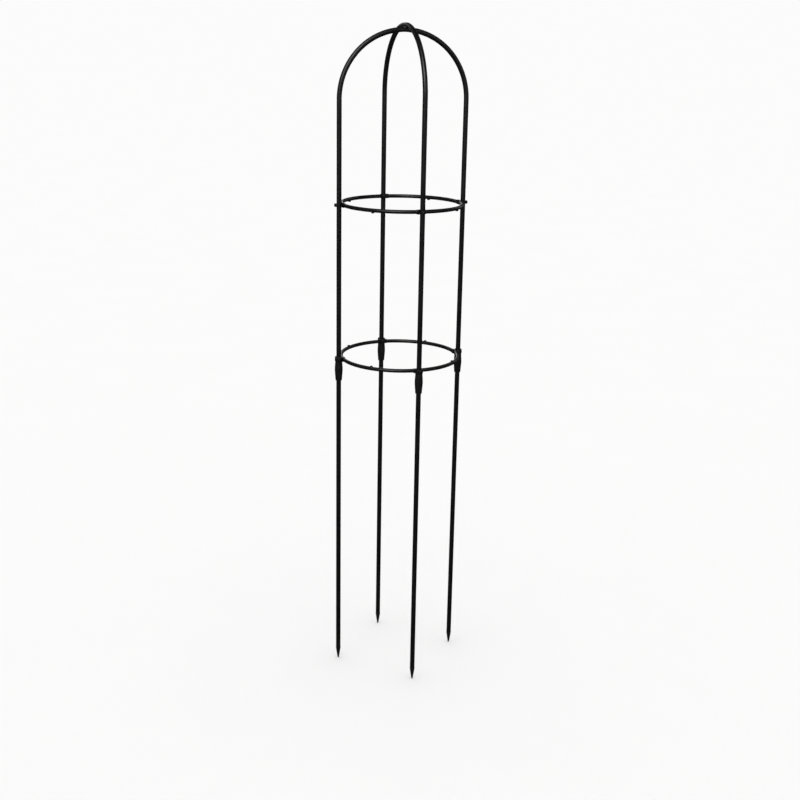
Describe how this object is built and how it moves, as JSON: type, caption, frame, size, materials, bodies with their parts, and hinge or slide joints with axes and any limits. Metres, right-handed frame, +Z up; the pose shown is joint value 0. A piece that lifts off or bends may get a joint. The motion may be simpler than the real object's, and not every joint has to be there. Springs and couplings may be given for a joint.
{
  "type": "garden obelisk",
  "caption": "Tall free-standing obelisk for climbing plants: two bent tube hoops crossing at the top, on straight legs plugged into sleeves, with round rings screwed inside the legs.",
  "frame": {"origin": "on the ground at the centre of the four feet", "axes": "+Z up along the obelisk; X and Y run through the legs, -Y is the front leg and +X the right leg"},
  "size_m": [0.3116, 0.3116, 1.5],
  "materials": {
    "black_coating": "smooth semi-gloss black plastic coating over thin steel tube and rod",
    "black_plastic": "moulded black plastic with a fine satin grain",
    "black_screw": "black coated steel screws and nuts, satin"
  },
  "bodies": {
    "upper_frame": {"hoop_under": "black_coating", "hoop_over": "black_coating", "ring_lower": "black_coating", "ring_upper": "black_coating", "sleeve_right": "black_plastic", "sleeve_back": "black_plastic", "sleeve_left": "black_plastic", "sleeve_front": "black_plastic", "lower_screw_right": "black_screw", "lower_screw_back": "black_screw", "lower_screw_left": "black_screw", "lower_screw_front": "black_screw", "lower_nut_right": "black_screw", "lower_nut_back": "black_screw", "lower_nut_left": "black_screw", "lower_nut_front": "black_screw", "upper_screw_right": "black_screw", "upper_screw_back": "black_screw", "upper_screw_left": "black_screw", "upper_screw_front": "black_screw", "upper_nut_right": "black_screw", "upper_nut_back": "black_screw", "upper_nut_left": "black_screw", "upper_nut_front": "black_screw", "upper_washer_right": "black_plastic", "upper_washer_back": "black_plastic", "upper_washer_left": "black_plastic", "upper_washer_front": "black_plastic"},
    "leg_right": {"lower_leg_right": "black_coating", "foot_right": "black_plastic"},
    "leg_back": {"lower_leg_back": "black_coating", "foot_back": "black_plastic"},
    "leg_left": {"lower_leg_left": "black_coating", "foot_left": "black_plastic"},
    "leg_front": {"lower_leg_front": "black_coating", "foot_front": "black_plastic"}
  },
  "joints": [
    {"name": "leg_right_pull", "type": "slide", "parent": "upper_frame", "child": "leg_right", "axis": [0, 0, 1], "range_m": [-0.024, 0]},
    {"name": "leg_back_pull", "type": "slide", "parent": "upper_frame", "child": "leg_back", "axis": [0, 0, 1], "range_m": [-0.024, 0]},
    {"name": "leg_left_pull", "type": "slide", "parent": "upper_frame", "child": "leg_left", "axis": [0, 0, 1], "range_m": [-0.024, 0]},
    {"name": "leg_front_pull", "type": "slide", "parent": "upper_frame", "child": "leg_front", "axis": [0, 0, 1], "range_m": [-0.024, 0]}
  ]
}
